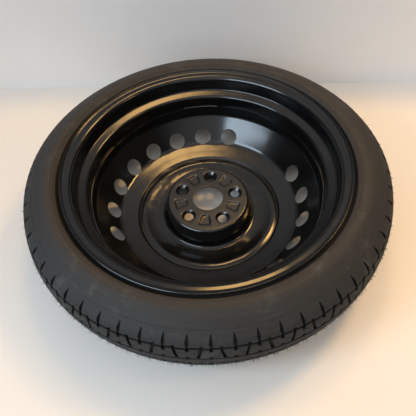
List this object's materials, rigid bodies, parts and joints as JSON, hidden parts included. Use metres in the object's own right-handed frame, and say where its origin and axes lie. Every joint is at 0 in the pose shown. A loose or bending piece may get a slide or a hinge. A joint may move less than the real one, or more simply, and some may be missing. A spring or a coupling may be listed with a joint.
{
  "type": "space saver spare wheel",
  "caption": "Narrow temporary spare wheel: black pressed-steel dish and rolled rim with vent holes, slim ribbed tyre and a snap-in tyre valve.",
  "frame": {"origin": "centre of the hub mounting face", "axes": "+Z along the spin axis towards the vehicle (inboard), X and Y in the mounting face"},
  "size_m": [0.6072, 0.6072, 0.1453],
  "materials": {
    "tyre_rubber": "matt moulded rubber",
    "black_steel": "satin-gloss black dip coat",
    "valve_rubber": "smooth moulded rubber",
    "brass": "turned brass",
    "seal_rubber": "smooth rubber",
    "spring_steel": "drawn wire",
    "cap_plastic": "moulded plastic"
  },
  "bodies": {
    "wheel": {"tyre": "tyre_rubber", "rim_band": "black_steel", "wheel_disc": "black_steel", "weld_beads": "black_steel", "valve_body": "valve_rubber", "valve_stem": "brass", "core_plug": "brass", "core_barrel": "brass", "core_gasket": "seal_rubber", "core_spring": "spring_steel"},
    "valve_pin": {"core_pin": "brass", "core_cup": "brass", "core_seal": "seal_rubber"},
    "cap_ring": {"cap_seal": "seal_rubber"},
    "cap": {"valve_cap": "cap_plastic"}
  },
  "joints": [
    {"name": "pin_press", "type": "slide", "parent": "wheel", "child": "valve_pin", "axis": [0.4507, 0.457, 0.7668], "range_m": [0, 0.001], "stiffness_N_per_m": 1200, "springref_m": -0.002, "deforming": ["core_spring"]},
    {"name": "cap_rise", "type": "slide", "parent": "wheel", "child": "cap_ring", "axis": [-0.4507, -0.457, -0.7668], "range_m": [0, 0.00635]},
    {"name": "cap_turn", "type": "hinge", "parent": "cap_ring", "child": "cap", "pos_m": [0.14536, 0.14741, 0.01466], "axis": [-0.4507, -0.457, -0.7668], "range_deg": [0, 2880]}
  ],
  "couplings": [
    {"joint": "cap_turn", "follows": "cap_rise", "rad_per_m": 7913.3}
  ]
}
